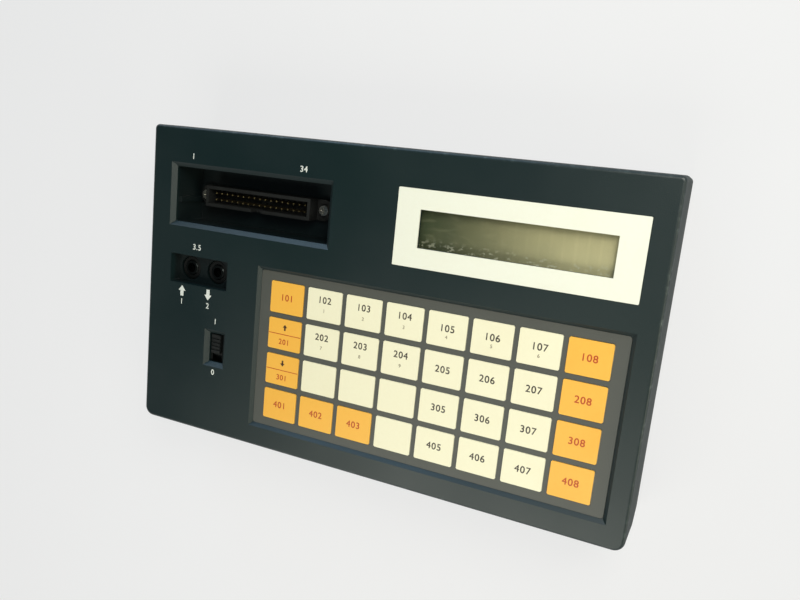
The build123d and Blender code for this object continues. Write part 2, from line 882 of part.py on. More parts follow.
def ribbon_y():
    """Where the display ribbon hangs."""
    return display_center_y - lcd_board_height / 2 + ribbon_edge_distance


def ribbon_cables():
    """The keypad tail and the display ribbon, both hanging straight into their sockets."""
    socket_height_above_board = tail_socket_size[2]
    seat_z = board_top_z + socket_height_above_board / 2
    tail = block(keypad_center_x, tail_y(), tail_width, tail_thickness, seat_z, spacer_low_z)
    ribbon = block(display_center_x, ribbon_y(), ribbon_width, tail_thickness, seat_z, lcd_board_low_z)
    return Compound([tail, ribbon])


# Main board and what stands on it


def main_board():
    """The main circuit board, notched round the case bosses."""
    board = block(0, 0, board_width, board_height, board_low_z, board_top_z)
    for side_x in (-1, 1):
        for side_y in (-1, 1):
            corner_x = side_x * (board_width - board_notch_x) / 2
            corner_y = side_y * (board_height - board_notch_y) / 2
            board = board - block(corner_x, corner_y, board_notch_x, board_notch_y, board_low_z, board_top_z)
    for x, y in board_screw_places():
        board = board - post(x, y, board_screw_radius + hole_clearance, board_low_z, board_top_z)
    return board


def board_screws():
    """The screws of the main board and of the display board, all alike."""
    main = [
        screw(
            x,
            y,
            board_screw_radius,
            board_thickness + board_screw_bite,
            board_head_radius,
            board_head_height,
            board_low_z,
        )
        for x, y in board_screw_places()
    ]
    display = [
        screw(
            x,
            y,
            board_screw_radius,
            lcd_board_thickness + lcd_screw_bite,
            board_head_radius,
            board_head_height,
            lcd_board_low_z,
        )
        for x, y in lcd_screw_places()
    ]
    return Compound(main + display)


def logic_chip(x, y, length):
    """A dual in-line package with its end notch."""
    body = block(x, y, length, chip_width, board_top_z, board_top_z + chip_height)
    notch = post(x - length / 2, y, 1.5, board_top_z + chip_height / 2, board_top_z + chip_height)
    return body - notch


def logic_chips():
    """The processor, the memories and the gate array."""
    chips = []
    for (offset_x, offset_y), length in zip(chip_offsets, chip_lengths):
        chips.append(logic_chip(keypad_center_x + offset_x, keypad_center_y + offset_y, length))
    return Compound(chips)


def flat_cable_socket(x, y, length):
    """A low socket with a slot for a flat cable."""
    size_y, size_z = tail_socket_size[1:]
    body = block(x, y, length, size_y, board_top_z, board_top_z + size_z)
    slot = block(
        x,
        y,
        length - 3,
        tail_thickness + 2 * joint_clearance,
        board_top_z + size_z / 2,
        board_top_z + size_z,
    )
    return body - slot


def board_components():
    """Capacitors, the crystal and the two flat cable sockets."""
    cans = []
    for offset_x, offset_y in can_offsets:
        x = keypad_center_x + offset_x
        y = keypad_center_y + offset_y
        cans.append(post(x, y, can_radius, board_top_z, board_top_z + can_height))
    size_x, size_y, size_z = crystal_size
    x = keypad_center_x + crystal_offset[0]
    y = keypad_center_y + crystal_offset[1]
    crystal = rounded_block(x, y, size_x, size_y, size_y / 2 - 0.1, board_top_z, board_top_z + size_z)
    tail_socket = flat_cable_socket(keypad_center_x, tail_y(), tail_socket_size[0])
    ribbon_socket = flat_cable_socket(display_center_x, ribbon_y(), ribbon_width + 4)
    return Compound([*cans, crystal, tail_socket, ribbon_socket])


def pack_connector_shell():
    """The shrouded header in the bay, with a keying notch and a screwed ear at each end."""
    top_z = board_top_z + pack_shell_height
    body = block(pack_center_x, bay_center_y, pack_shell_length, pack_shell_width, board_top_z, top_z)
    for x, y in ear_screw_places():
        ear = rounded_block(
            x - math.copysign(header_shell_wall, x - pack_center_x),
            y,
            pack_ear_length + 2 * header_shell_wall,
            pack_shell_width,
            pack_shell_width / 2 - joint_clearance,
            bay_floor_z,
            bay_floor_z + pack_ear_thickness,
        )
        body = body + ear
    cavity_low_z = board_top_z + pack_socket_floor
    cavity = block(
        pack_center_x,
        bay_center_y,
        pack_shell_length - 2 * header_shell_wall,
        pack_shell_width - 2 * header_shell_wall,
        cavity_low_z,
        top_z,
    )
    notch = block(
        pack_center_x,
        bay_center_y - pack_shell_width / 2,
        pack_notch_width,
        3 * header_shell_wall,
        (cavity_low_z + top_z) / 2,
        top_z,
    )
    body = body - cavity - notch
    for x, y in pin_grid(pack_center_x, bay_center_y, pin_columns):
        hole_side = pin_side + 2 * thread_clearance
        body = body - block(x, y, hole_side, hole_side, board_top_z, cavity_low_z)
    for x, y in ear_screw_places():
        hole = post(x, y, pack_screw_radius + hole_clearance, bay_floor_z, bay_floor_z + pack_ear_thickness)
        body = body - hole
    return body


def pin_grid(center_x, center_y, columns):
    """The places of a two-row header's pins."""
    places = []
    for row in range(pin_rows):
        for column in range(columns):
            x = center_x + (column - (columns - 1) / 2) * pin_pitch
            y = center_y + (row - (pin_rows - 1) / 2) * pin_pitch
            places.append((x, y))
    return places


def pack_pin(x, y):
    """A square upright pin with a chamfered tip."""
    top_z = board_top_z + pack_pin_length
    pin = block(x, y, pin_side, pin_side, board_top_z, top_z)
    return chamfer(pin.faces().sort_by(Axis.Z)[-1].edges(), pin_tip)


def socket_mouth_y():
    """The mouth of the cable socket shell, just inside the edge of the case."""
    return case_height / 2 - socket_recess


def socket_pin(x, row):
    """A right-angle pin of the cable socket: along the shell, then up to the board."""
    z = socket_height() + (row - (pin_rows - 1) / 2) * pin_pitch
    back_y = socket_mouth_y() - socket_shell_depth - socket_leg_step * (2 - row)
    front_y = socket_mouth_y() - socket_pin_recess
    along = block(
        x, (back_y + front_y) / 2, pin_side, front_y - back_y, z - pin_side / 2, z + pin_side / 2
    )
    leg = block(x, back_y + pin_side / 2, pin_side, pin_side, z - pin_side / 2, board_low_z)
    return along + leg


def header_pins():
    """All the square pins of the memory pack connector and the cable socket."""
    pins = [pack_pin(x, y) for x, y in pin_grid(pack_center_x, bay_center_y, pin_columns)]
    for column in range(socket_columns):
        x = socket_center_x + (column - (socket_columns - 1) / 2) * pin_pitch
        pins.extend(socket_pin(x, row) for row in range(pin_rows))
    return Compound(pins)


def pack_connector_screws():
    """The two small screws in the connector's ears."""
    seat_z = bay_floor_z + pack_ear_thickness
    length = pack_ear_thickness + bay_wall - 2 * joint_clearance
    screws = []
    for x, y in ear_screw_places():
        screws.append(
            screw(
                x,
                y,
                pack_screw_radius,
                length,
                pack_head_radius,
                pack_head_height,
                seat_z,
                points_up=False,
            )
        )
    return Compound(screws)


def cable_socket_shell():
    """The shrouded right-angle header for the controller cable, with its keying notch."""
    mouth_y = socket_mouth_y()
    z = socket_height()
    low_z = z - socket_shell_height / 2
    high_z = z + socket_shell_height / 2
    body = block(
        socket_center_x,
        mouth_y - socket_shell_depth / 2,
        socket_shell_length,
        socket_shell_depth,
        low_z,
        high_z,
    )
    cavity_depth = socket_shell_depth - socket_floor
    cavity = block(
        socket_center_x,
        mouth_y - cavity_depth / 2,
        socket_shell_length - 2 * header_shell_wall,
        cavity_depth,
        low_z + header_shell_wall,
        high_z - header_shell_wall,
    )
    notch = block(
        socket_center_x,
        mouth_y - cavity_depth / 4,
        pack_notch_width,
        cavity_depth / 2,
        low_z,
        low_z + 2 * header_shell_wall,
    )
    body = body - cavity - notch
    hole_side = pin_side + 2 * thread_clearance
    for column in range(socket_columns):
        x = socket_center_x + (column - (socket_columns - 1) / 2) * pin_pitch
        for row in range(pin_rows):
            pin_z = z + (row - (pin_rows - 1) / 2) * pin_pitch
            hole = Box(hole_side, socket_shell_depth, hole_side)
            body = body - Pos(x, mouth_y - socket_shell_depth / 2, pin_z) * hole
    return body


# Cassette jacks


def cassette_jack(x, y):
    """An upright jack: a square body on the board, a round nose and a plain bore."""
    body = block(x, y, jack_body_side, jack_body_side, board_top_z, jack_body_top_z)
    nose = post(x, y, jack_nose_radius, jack_body_top_z, jack_nose_top_z)
    seat_low_z = jack_nose_top_z + bushing_stand - bushing_length
    seat = post(x, y, bushing_radius + thread_clearance, seat_low_z, jack_nose_top_z)
    bore = post(x, y, jack_bore_radius, board_top_z + jack_bore_floor, seat_low_z)
    return body + nose - seat - bore


def jack_bushing(x, y):
    """The plated ring that the plug passes through."""
    high_z = jack_nose_top_z + bushing_stand
    ring = post(x, y, bushing_radius, high_z - bushing_length, high_z)
    ring = chamfer(ring.faces().sort_by(Axis.Z)[-1].edges(), bushing_chamfer)
    return ring - post(x, y, jack_bore_radius, high_z - bushing_length, high_z)


def jack_bushings():
    """The plated rings of both jacks."""
    return Compound([jack_bushing(x, y) for x, y in jack_places()])


# Slide switch


def knob_rest_y():
    """The middle of the knob in its upper position."""
    return switch_center_y + knob_travel / 2


def lock_switch_body():
    """The switch case with its mounting flange, open along the track of the knob."""
    flange_low_z = cavity_top_z - switch_sheet
    body_low_z = flange_low_z - switch_body_depth
    body = block(
        switch_center_x, switch_center_y, switch_body_width, switch_body_height, body_low_z, flange_low_z
    )
    flange = block(
        switch_center_x, switch_center_y, switch_body_width, switch_flange_height, flange_low_z, cavity_top_z
    )
    window = block(
        switch_center_x,
        switch_center_y,
        switch_window_width,
        switch_window_height,
        flange_low_z,
        cavity_top_z,
    )
    track = block(
        switch_center_x,
        switch_center_y,
        switch_track_width,
        switch_track_height,
        flange_low_z - switch_track_depth,
        flange_low_z,
    )
    body = body + flange - window - track
    for x, y in switch_stake_places():
        body = body - post(x, y, switch_stake_radius + joint_clearance, flange_low_z, cavity_top_z)
    return body


def lock_switch_knob():
    """The sliding knob: a base under the flange and a grooved grip in the slot."""
    y = knob_rest_y()
    flange_low_z = cavity_top_z - switch_sheet
    base_high_z = flange_low_z - knob_clearance
    base = block(
        switch_center_x,
        y,
        knob_width + 2 * knob_base_overhang,
        knob_length + 2 * knob_base_overhang,
        base_high_z - knob_base_height,
        base_high_z,
    )
    top_z = face_z - knob_top_drop
    grip = block(switch_center_x, y, knob_width, knob_length, base_high_z, top_z)
    groove_pitch = knob_length / (knob_groove_count + 1)
    for number in range(knob_groove_count):
        groove_y = y + (number - (knob_groove_count - 1) / 2) * groove_pitch
        groove = block(switch_center_x, groove_y, knob_width, 2 * knob_groove, top_z - knob_groove, top_z)
        grip = grip - groove
    return base + grip


def build_parts():
    """Every piece of the terminal under its own name."""
    (ear_x, ear_y), (mic_x, mic_y) = jack_places()
    parts = {
        "front_cover": front_cover(),
        "rear_cover": rear_cover(),
        "rubber_feet": rubber_feet(),
        "case_screws": case_screws(),
        "display_bezel": display_bezel(),
        "display_window": display_window(),
        "lcd_frame": lcd_frame(),
        "lcd_glass": lcd_glass(),
        "lcd_elastomers": lcd_elastomers(),
        "lcd_board": lcd_board(),
        "keypad_overlay": keypad_overlay(),
        "keypad_spacer": keypad_spacer(),
        "keypad_backplate": keypad_backplate(),
        "key_domes": key_domes(),
        "ribbon_cables": ribbon_cables(),
        "main_board": main_board(),
        "board_screws": board_screws(),
        "logic_chips": logic_chips(),
        "board_components": board_components(),
        "pack_connector_shell": pack_connector_shell(),
        "pack_connector_screws": pack_connector_screws(),
        "header_pins": header_pins(),
        "cable_socket_shell": cable_socket_shell(),
        "ear_jack": cassette_jack(ear_x, ear_y),
        "mic_jack": cassette_jack(mic_x, mic_y),
        "jack_bushings": jack_bushings(),
        "lock_switch_body": lock_switch_body(),
        "lock_switch_knob": lock_switch_knob(),
    }
    for row in range(key_rows):
        for column in range(key_columns):
            parts[f"key_row{row + 1}_col{column + 1}"] = key_pad(row, column)
    return parts


os.makedirs("parts", exist_ok=True)
for name, shape in build_parts().items():
    export_step(shape, f"parts/{name}.step")
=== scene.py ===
# %% [markdown]
# A programming terminal for a small industrial controller
#
# The solids of the terminal come from the CAD model and stay where they are. This script gives them their
# finishes, adds the printed figures and arrows, and sets up a camera, soft lamps and a pale floor.
# Lengths are in metres: X runs to the right across the face, Y towards the display edge, Z out of the face.

# %% Load the model and keep its box
import json
import math

import bmesh
import bpy
from mathutils import Matrix, Vector


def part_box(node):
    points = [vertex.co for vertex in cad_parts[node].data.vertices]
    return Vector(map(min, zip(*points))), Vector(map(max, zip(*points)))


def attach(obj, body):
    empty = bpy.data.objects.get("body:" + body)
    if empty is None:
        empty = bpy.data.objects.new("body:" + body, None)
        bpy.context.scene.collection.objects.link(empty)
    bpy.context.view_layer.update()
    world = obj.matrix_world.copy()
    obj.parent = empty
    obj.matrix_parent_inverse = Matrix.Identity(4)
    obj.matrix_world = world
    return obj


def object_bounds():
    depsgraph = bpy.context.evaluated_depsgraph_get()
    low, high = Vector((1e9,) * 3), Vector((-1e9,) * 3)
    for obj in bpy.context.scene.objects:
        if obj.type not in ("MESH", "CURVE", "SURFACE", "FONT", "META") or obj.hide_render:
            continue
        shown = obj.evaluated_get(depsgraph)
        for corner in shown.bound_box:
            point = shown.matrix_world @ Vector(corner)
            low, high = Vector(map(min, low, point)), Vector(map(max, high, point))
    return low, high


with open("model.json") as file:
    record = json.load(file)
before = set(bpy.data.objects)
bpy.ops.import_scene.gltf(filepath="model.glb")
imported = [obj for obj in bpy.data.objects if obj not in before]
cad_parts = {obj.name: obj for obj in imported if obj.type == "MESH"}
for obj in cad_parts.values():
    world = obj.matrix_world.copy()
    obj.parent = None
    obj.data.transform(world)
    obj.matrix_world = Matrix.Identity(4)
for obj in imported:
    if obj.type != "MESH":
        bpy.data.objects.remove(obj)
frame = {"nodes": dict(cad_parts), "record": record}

cad_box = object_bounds()
MM = 0.001
print("CAD box:", [[round(value, 4) for value in corner] for corner in cad_box])

# %% [markdown]
# The camera stands above the right-hand, display-side corner and looks down across the keypad.
#
# A camera could be aimed by hand until the picture looks right. Here its place and its three axes were worked
# out beforehand from the corners of the case and of the keypad, so they are written straight into its matrix.

# %% Camera
camera_data = bpy.data.cameras.new("camera")
camera_data.sensor_width = 36.0
camera_data.lens = 33.257
camera_data.clip_start = 0.01
camera = bpy.data.objects.new("camera", camera_data)
bpy.context.scene.collection.objects.link(camera)
camera_right = Vector((0.90626, 0.09956, -0.41084))
camera_up = Vector((-0.16887, 0.97622, -0.13595))
camera_back = Vector((0.38753, 0.19259, 0.90151))
axes = Matrix((camera_right, camera_up, camera_back)).transposed().to_4x4()
camera.matrix_world = Matrix.Translation((0.11016, 0.05680, 0.26108)) @ axes
bpy.context.scene.camera = camera
bpy.context.scene.view_settings.view_transform = "Standard"
print("camera height over the table:", round(camera.matrix_world.translation.z, 3), "m")

# %% [markdown]
# Four soft panels light the terminal, and a weak bluish world fills in the shade.
#
# Small lamps would give hard shadows. A panel is a broad source, so the dark plastic shows a wide sheen that
# fades towards one corner. The key panel hangs beyond the display edge, so the display's rim casts its shadow
# down onto the glass, and the front panel gives the keypad end its sheen. A warm panel far to the right and a
# blue one at the back pick out the bevels that face them. Together they light a level surface so that its
# colour comes out about as it was written.


# %% Lamps and world
def soft_panel(name, place, aim, width, height, watts, colour):
    data = bpy.data.lights.new(name, "AREA")
    data.shape = "RECTANGLE"
    data.size = width
    data.size_y = height
    data.energy = watts
    data.color = colour
    panel = bpy.data.objects.new(name, data)
    bpy.context.scene.collection.objects.link(panel)
    turn = (Vector(place) - Vector(aim)).to_track_quat("Z", "Y").to_matrix().to_4x4()
    panel.matrix_world = Matrix.Translation(place) @ turn
    panel.visible_camera = False
    return panel


keypad_middle = (0.03, -0.02, 0.03)
soft_panel("key_panel", (0.21, 0.23, 0.33), keypad_middle, 0.22, 0.22, 1.36, (1.0, 0.99, 0.90))
soft_panel("front_panel", (0.0, -0.30, 0.38), keypad_middle, 0.45, 0.25, 1.2, (1.0, 1.0, 0.90))
soft_panel("warm_side_panel", (0.95, -0.22, 0.44), keypad_middle, 0.50, 0.40, 2.2, (1.0, 0.97, 0.72))
soft_panel("blue_back_panel", (-0.44, 0.97, 0.37), keypad_middle, 0.60, 0.40, 3.0, (0.42, 0.70, 1.0))

world = bpy.data.worlds.new("studio_air")
bpy.context.scene.world = world
world.use_nodes = True
sky = world.node_tree.nodes["Background"].inputs
sky["Color"].default_value = (0.62, 0.85, 1.0, 1.0)
sky["Strength"].default_value = 0.045

# %% [markdown]
# Every finish is a small node tree, and much of it is arithmetic on masks.
#
# The nodes could be wired one by one, but a long chain of Math nodes is hard to read. A Signal wraps one output
# socket and turns plus, minus and times into Math nodes, so that a mask reads like a line of algebra. A Finish
# wraps a material and makes any other node by its type, its settings and its sockets.


# %% Sums on sockets
class Signal:
    """One output socket that can be used in Python sums."""

    def __init__(self, finish, socket):
        self.finish = finish
        self.socket = socket

    def sum(self, operation, first, second):
        return self.finish.node("ShaderNodeMath", {"operation": operation}, {0: first, 1: second})

    def __add__(self, other):
        return self.sum("ADD", self, other)

    def __radd__(self, other):
        return self.sum("ADD", other, self)

    def __sub__(self, other):
        return self.sum("SUBTRACT", self, other)

    def __rsub__(self, other):
        return self.sum("SUBTRACT", other, self)

    def __mul__(self, other):
        return self.sum("MULTIPLY", self, other)

    def __truediv__(self, other):
        return self.sum("DIVIDE", self, other)

    def __mod__(self, other):
        return self.sum("FLOORED_MODULO", self, other)

    def __abs__(self):
        return self.sum("ABSOLUTE", self, 0.0)

    def most(self, other):
        return self.sum("MAXIMUM", self, other)

    def least(self, other):
        return self.sum("MINIMUM", self, other)

    def ramp(self, low, high):
        """0 below low, 1 above high, and smooth in between; low may be the larger one."""
        sockets = {"Value": self, "From Min": low, "From Max": high}
        return self.finish.node("ShaderNodeMapRange", {"interpolation_type": "SMOOTHSTEP"}, sockets)


class Finish:
    """A material under construction."""

    def __init__(self, name):
        self.material = bpy.data.materials.new(name)
        self.material.use_nodes = True
        self.tree = self.material.node_tree
        self.shader = self.tree.nodes["Principled BSDF"]
        self.output = self.tree.nodes["Material Output"]
        self.place = self.node("ShaderNodeTexCoord", {}, {}, "Object")

    def node(self, kind, settings=None, sockets=None, output=0):
        made = self.tree.nodes.new(kind)
        for key, value in (settings or {}).items():
            setattr(made, key, value)
        for key, value in (sockets or {}).items():
            self.feed(made.inputs[key], value)
        return Signal(self, made.outputs[output])

    def feed(self, socket, value):
        if isinstance(value, Signal):
            self.tree.links.new(value.socket, socket)
        elif isinstance(value, tuple) and len(value) == 3 and socket.type == "RGBA":
            socket.default_value = (*value, 1.0)
        else:
            socket.default_value = value

    def axis(self, name):
        """The object coordinate along X, Y or Z, in metres."""
        return self.node("ShaderNodeSeparateXYZ", {}, {"Vector": self.place}, name)

    def cloud(self, per_metre, detail=2.0, stretch=(1.0, 1.0, 1.0), seed=0.0):
        """Soft random patches, from 0 to 1 round a middle of 0.5."""
        sockets = {"Vector": self.place, "Scale": stretch}
        spread = self.node("ShaderNodeMapping", {}, sockets)
        sockets = {"Vector": spread, "W": seed, "Scale": per_metre, "Detail": detail}
        return self.node("ShaderNodeTexNoise", {"noise_dimensions": "4D"}, sockets, "Fac")

    def pebble(self, per_metre):
        """The distance to the nearest of many scattered points."""
        return self.node("ShaderNodeTexVoronoi", {}, {"Vector": self.place, "Scale": per_metre}, "Distance")

    def blend(self, mask, first, second):
        """The first colour where the mask is 0, the second where it is 1."""
        sockets = {"Factor": mask, 6: first, 7: second}
        return self.node("ShaderNodeMix", {"data_type": "RGBA"}, sockets, 2)

    def relief(self, height, depth, strength=1.0):
        sockets = {"Height": height, "Distance": depth, "Strength": strength}
        return self.node("ShaderNodeBump", {}, sockets, "Normal")

    @property
    def shader_signal(self):
        return Signal(self, self.shader.outputs["BSDF"])

    def finish_with(self, factor, first, second):
        """Show a mix of two shaders in place of the first alone."""
        mixed = self.node("ShaderNodeMixShader", {}, {0: factor, 1: first, 2: second}, "Shader")
        self.feed(self.output.inputs["Surface"], mixed)

    def wear(self, **inputs):
        """Set the shader's own sockets; words are written with _ for a space."""
        for name, value in inputs.items():
            self.feed(self.shader.inputs[name.replace("_", " ")], value)
        return self.material


def srgb(red, green, blue):
    """A screen colour from 0 to 255, as the linear colour that Blender works in."""
    values = []
    for level in (red, green, blue):
        share = level / 255
        values.append(share / 12.92 if share < 0.04045 else ((share + 0.055) / 1.055) ** 2.4)
    return tuple(values)


print("cream as linear colour:", [round(value, 3) for value in srgb(252, 246, 216)])

# %% [markdown]
# The floor is a pale paper sweep: a level disc that bends up into a low wall all round.
#
# What the camera sees of it, directly or mirrored in metal, should be an even pale grey, while the soft shadow
# under the terminal stays. So it is white diffuse paper, with a faint even glow mixed in for those rays only.
# A profile turned round the middle gives the same backdrop from every side.

# %% Floor and backdrop
level_radius = 2.2
bend_radius = 0.6
bend_steps = 8
wall_height = 1.2
inner_radius = 0.4
around = 96
just_below_feet = -0.02 * MM

profile = [(inner_radius, 0.0), (level_radius, 0.0)]
for step in range(1, bend_steps + 1):
    turn = step / bend_steps * math.pi / 2
    profile.append((level_radius + bend_radius * math.sin(turn), bend_radius * (1 - math.cos(turn))))
profile.append((level_radius + bend_radius, wall_height))

sweep = bmesh.new()
middle = sweep.verts.new((0, 0, just_below_feet))
rings = []
for radius, height in profile:
    ring = []
    for step in range(around):
        turn = step / around * 2 * math.pi
        x, y = radius * math.cos(turn), radius * math.sin(turn)
        ring.append(sweep.verts.new((x, y, height + just_below_feet)))
    rings.append(ring)
for step in range(around):
    following = (step + 1) % around
    sweep.faces.new((middle, rings[0][step], rings[0][following]))
    for inner, outer in zip(rings, rings[1:]):
        sweep.faces.new((inner[step], outer[step], outer[following], inner[following]))
for face in sweep.faces:
    face.smooth = True
floor_mesh = bpy.data.meshes.new("paper_sweep")
sweep.to_mesh(floor_mesh)
sweep.free()
floor = bpy.data.objects.new("paper_sweep", floor_mesh)
bpy.context.scene.collection.objects.link(floor)

paper = Finish("floor_paper")
paper.wear(
    Base_Color=paper.blend(paper.cloud(40.0), srgb(234, 234, 234), srgb(240, 240, 240)),
    Roughness=0.9,
    Specular_IOR_Level=0.1,
    Normal=paper.relief(paper.cloud(900.0, 3.0, seed=1.0), 0.05 * MM, 0.2),
)
ray_to_camera = paper.node("ShaderNodeLightPath", {}, {}, "Is Camera Ray")
ray_in_gloss = paper.node("ShaderNodeLightPath", {}, {}, "Is Glossy Ray")
ray_through_glass = paper.node("ShaderNodeLightPath", {}, {}, "Is Transmission Ray")
seen = ray_to_camera.most(ray_in_gloss).most(ray_through_glass)
glow = paper.node("ShaderNodeEmission", {}, {"Color": srgb(240, 240, 240)}, "Emission")
glow_share = 0.82
paper.finish_with(seen * glow_share, paper.shader_signal, glow)
floor_mesh.materials.append(paper.material)
print("floor radius:", level_radius + bend_radius, "m")

# %% [markdown]
# The case is moulded in a dark grey-green plastic with a fine leathery grain.
#
# A plain dark colour with one roughness would look like paint. The grain is a dense pebble pattern in the bump,
# broken up by a finer noise, and the sheen differs a little from place to place where hands have polished it.
# Scuffs gather along the outer edges, where the case is laid down and picked up. The pockets get a painted
# shade, a darker colour deep inside them, and the side walls are rougher than the face, so they mirror less of
# the pale floor.

# %% Case plastic
cad_low, cad_high = cad_box
half_width = (cad_high[0] - cad_low[0]) / 2
half_height = (cad_high[1] - cad_low[1]) / 2


def moulded_case():
    case = Finish("case_plastic")
    grain = case.pebble(2600.0) * 0.7 + case.cloud(5200.0, 3.0) * 0.5
    hands = case.cloud(22.0, 3.0).ramp(0.35, 0.7)
    to_side = half_width - abs(case.axis("X"))
    to_end = half_height - abs(case.axis("Y"))
    height = case.axis("Z")
    below_face = cad_high[2] - height
    to_outline = to_side.least(to_end)
    near_outline = to_outline.ramp(1.8 * MM, 0.4 * MM)
    rim = near_outline * below_face.ramp(1.5 * MM, 0.6 * MM).most(height.ramp(4.2 * MM, 3.0 * MM))
    corner = (to_side + to_end).ramp(3.4 * MM, 1.8 * MM)
    near_edge = rim.most(corner)
    scuffs = near_edge * case.cloud(420.0, 5.0, seed=2.0).ramp(0.5, 0.72)
    dust = case.cloud(1500.0, 4.0, seed=5.0).ramp(0.62, 0.78) * case.cloud(60.0, 2.0, seed=6.0).ramp(0.4, 0.8)
    colour = case.blend(case.cloud(16.0, 2.0, seed=1.0), srgb(6, 28, 31), srgb(12, 34, 34))
    colour = case.blend(scuffs * 0.35, colour, srgb(96, 108, 106))
    # Painted shade: deep in the pockets the colour is blended towards near black, standing in for the dim light
    # there.
    painted_pocket_shade = to_outline.ramp(3.0 * MM, 5.0 * MM) * below_face.ramp(1.5 * MM, 3.6 * MM)
    colour = case.blend(painted_pocket_shade * 0.75, colour, srgb(5, 14, 16))
    colour = case.blend(dust * 0.12, colour, srgb(150, 152, 140))
    on_sides = to_outline.ramp(1.9 * MM, 1.2 * MM) * below_face.ramp(0.7 * MM, 1.7 * MM)
    return case.wear(
        Base_Color=colour,
        Roughness=0.47 - hands * 0.08 + dust * 0.15 - scuffs * 0.08 + on_sides * 0.35,
        Specular_IOR_Level=0.62,
        Normal=case.relief(grain, 0.035 * MM, 0.55),
    )


materials = {"case_plastic": moulded_case()}
print("case finish: nodes", len(materials["case_plastic"].node_tree.nodes))

# %% [markdown]
# The display surround is a printed label in pale cream, and the keys are pads of the same ink and of a warm
# orange one.
#
# Printed film is smooth and nearly even. What makes it look real is small: a faint mottle in the ink, a slight
# waviness of the film in the sheen, a few specks, and wide pale stains where fingers have rubbed it.


# %% Printed film
def printed_film(name, light, dark, roughness, seed):
    film = Finish(name)
    mottle = film.cloud(900.0, 3.0, seed=seed)
    stain = film.cloud(45.0, 3.0, seed=seed + 1.0).ramp(0.45, 0.75)
    specks = film.cloud(1900.0, 1.0, seed=seed + 2.0).ramp(0.79, 0.84)
    colour = film.blend(mottle * 0.5 + stain * 0.35, light, dark)
    colour = film.blend(specks * 0.55, colour, srgb(120, 110, 84))
    orange_peel = film.cloud(700.0, 2.0, seed=seed + 3.0)
    return film.wear(
        Base_Color=colour,
        Roughness=roughness + stain * 0.08 - mottle * 0.04,
        Normal=film.relief(orange_peel, 0.02 * MM, 0.35),
    )


materials["cream_label"] = printed_film("cream_label", srgb(247, 247, 233), srgb(241, 239, 220), 0.45, 1.0)
materials["key_cream"] = printed_film("key_cream", srgb(252, 246, 216), srgb(244, 236, 202), 0.46, 11.0)
materials["key_orange"] = printed_film("key_orange", srgb(255, 193, 78), srgb(250, 179, 65), 0.46, 21.0)
print("printed films:", sorted(materials))

# %% [markdown]
# The keypad sheet between the pads is a warm grey film with a satin, slightly pebbled face.


# %% Keypad sheet
def satin_sheet():
    sheet = Finish("keypad_sheet")
    pebbles = sheet.pebble(3000.0)
    wiped = sheet.cloud(30.0, 3.0, seed=31.0).ramp(0.35, 0.7)
    colour = sheet.blend(sheet.cloud(70.0, 3.0, seed=32.0), srgb(76, 78, 74), srgb(86, 87, 82))
    lint = sheet.cloud(1400.0, 2.0, seed=33.0).ramp(0.7, 0.8)
    colour = sheet.blend(lint * 0.3, colour, srgb(160, 158, 146))
    return sheet.wear(
        Base_Color=colour,
        Roughness=0.52 - wiped * 0.07,
        Normal=sheet.relief(pebbles, 0.02 * MM, 0.5),
    )


materials["keypad_sheet"] = satin_sheet()
print("keypad sheet ready")

# %% [markdown]
# Hard plastics, rubbers, films and metals inside the case follow three recipes.
#
# Each could have a tree of its own, but they differ only in colour, gloss and the size of their grain. One
# recipe is for moulded plastic and rubber, one for metal with drawn or turned lines, one for circuit boards.


# %% Recipes for the smaller parts
def moulded(name, colour, shade, roughness, grain_per_metre, grain_depth, seed):
    part = Finish(name)
    grain = part.cloud(grain_per_metre, 3.0, seed=seed)
    patches = part.cloud(120.0, 3.0, seed=seed + 1.0).ramp(0.3, 0.75)
    return part.wear(
        Base_Color=part.blend(patches, colour, shade),
        Roughness=roughness + patches * 0.1 - grain * 0.05,
        Normal=part.relief(grain, grain_depth, 0.6),
    )


def drawn_metal(name, colour, shade, roughness, stretch, seed):
    part = Finish(name)
    lines = part.cloud(900.0, 4.0, stretch, seed)
    tarnish = part.cloud(260.0, 3.0, seed=seed + 1.0).ramp(0.5, 0.8)
    return part.wear(
        Base_Color=part.blend(tarnish, colour, shade),
        Metallic=1.0,
        Roughness=roughness + lines * 0.12 + tarnish * 0.15,
        Normal=part.relief(lines, 0.01 * MM, 0.4),
    )


def circuit_board(name, colour, trace_colour, seed):
    part = Finish(name)
    weave = part.node(
        "ShaderNodeTexWave",
        {"wave_type": "BANDS", "bands_direction": "X"},
        {"Vector": part.place, "Scale": 330.0, "Distortion": 0.6},
        "Fac",
    )
    across = part.node(
        "ShaderNodeTexWave",
        {"wave_type": "BANDS", "bands_direction": "Y"},
        {"Vector": part.place, "Scale": 330.0, "Distortion": 0.6},
        "Fac",
    )
    lanes = part.cloud(60.0, 0.0, (1.0, 0.12, 1.0), seed).ramp(0.5, 0.56)
    pitch = 2.54 * MM
    line = abs(part.axis("X") % pitch - pitch / 2).ramp(0.45 * MM, 0.35 * MM)
    traces = lanes * line
    return part.wear(
        Base_Color=part.blend(traces * 0.8, part.blend(weave * across, colour, srgb(40, 92, 58)), trace_colour),
        Roughness=0.45 - traces * 0.08 + weave * 0.05,
        Normal=part.relief(weave * 0.3 + across * 0.3 + traces, 0.03 * MM, 0.5),
    )


